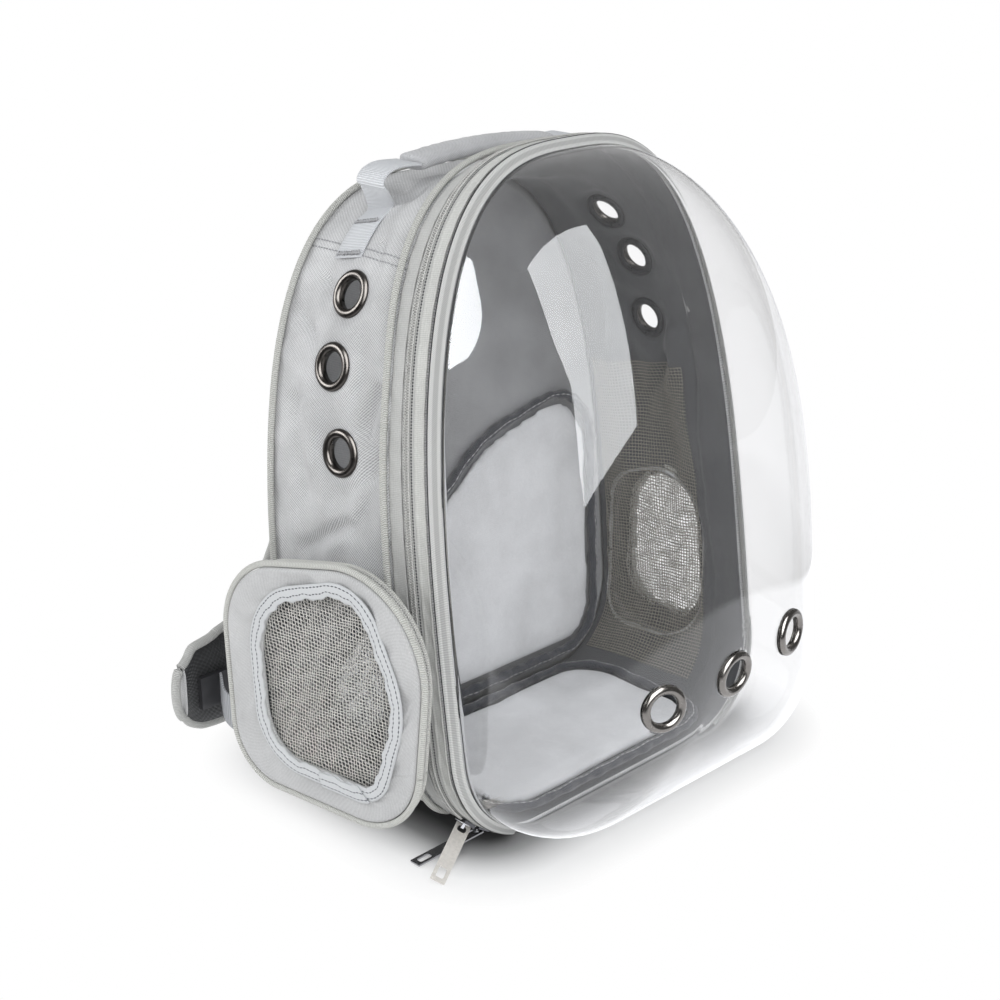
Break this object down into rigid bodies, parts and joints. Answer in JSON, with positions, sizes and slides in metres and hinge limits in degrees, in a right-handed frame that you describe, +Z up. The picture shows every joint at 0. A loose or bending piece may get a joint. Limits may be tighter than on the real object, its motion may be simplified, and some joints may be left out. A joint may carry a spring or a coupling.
{
  "type": "pet carrier backpack",
  "caption": "Soft-sided pet carrier backpack with a clear domed door, netted side pods (the right one folded flat), air eyelets, a top handle and padded shoulder straps, standing upright.",
  "frame": {"origin": "middle of the bounding box at floor level, under the base", "axes": "+Z up, -Y towards the dome, -X the side with the pull tabs"},
  "size_m": [0.3857, 0.3462, 0.433],
  "materials": {
    "oxford_cloth": "matte woven",
    "cord_piping": "twisted cord",
    "band_cloth": "matte woven",
    "zipper_tape": "coil zipper tape",
    "rim_binding": "textured woven",
    "clear_shell": "clear glossy",
    "nickel": "nickel plated",
    "webbing": "woven tape",
    "net_mesh": "open net",
    "dark_binding": "matte woven",
    "strap_padding": "air mesh",
    "buckle_plastic": "moulded",
    "pale_pad": "matte woven",
    "handle_padding": "matte woven"
  },
  "bodies": {
    "bag": {"back_pad": "pale_pad", "back_pad_edging": "dark_binding", "back_panel": "oxford_cloth", "back_piping": "cord_piping", "dome": "clear_shell", "dome_eyelet_left": "nickel", "dome_eyelet_middle": "nickel", "dome_eyelet_right": "nickel", "door_strip": "band_cloth", "floor_pad": "pale_pad", "floor_pad_edging": "dark_binding", "front_gusset_strip": "band_cloth", "front_piping": "cord_piping", "gusset": "oxford_cloth", "handle_grip": "handle_padding", "handle_webbing_left": "webbing", "handle_webbing_right": "webbing", "inner_net_left": "net_mesh", "inner_net_right": "net_mesh", "lower_webbing_left": "webbing", "lower_webbing_right": "webbing", "main_zipper": "zipper_tape", "pod_net_left": "net_mesh", "pod_net_right": "net_mesh", "pod_piping_left": "cord_piping", "pod_piping_right": "cord_piping", "pod_shell_left": "oxford_cloth", "pod_shell_right": "oxford_cloth", "pod_zipper_left": "dark_binding", "pod_zipper_right": "dark_binding", "rim_binding": "rim_binding", "shoulder_strap_left": "strap_padding", "shoulder_strap_right": "strap_padding", "side_eyelet_left_1": "nickel", "side_eyelet_left_2": "nickel", "side_eyelet_left_3": "nickel", "side_eyelet_right_1": "nickel", "side_eyelet_right_2": "nickel", "side_eyelet_right_3": "nickel", "slider_front": "nickel", "slider_rear": "nickel", "strap_adjuster_left": "buckle_plastic", "strap_adjuster_right": "buckle_plastic", "window_tape_left": "webbing", "window_tape_right": "webbing"},
    "front_tab": {"pull_tab_front": "nickel"},
    "rear_tab": {"pull_tab_rear": "nickel"}
  },
  "joints": [
    {"name": "front_tab_swing", "type": "hinge", "parent": "bag", "child": "front_tab", "pos_m": [-0.13222, -0.05262, 0.01561], "axis": [-0.496, 0.7599, 0.4202], "range_deg": [-10, 50]},
    {"name": "rear_tab_swing", "type": "hinge", "parent": "bag", "child": "rear_tab", "pos_m": [-0.12003, -0.05371, 0.00758], "axis": [0.1415, 0.9826, -0.1201], "range_deg": [-90, 8]}
  ]
}
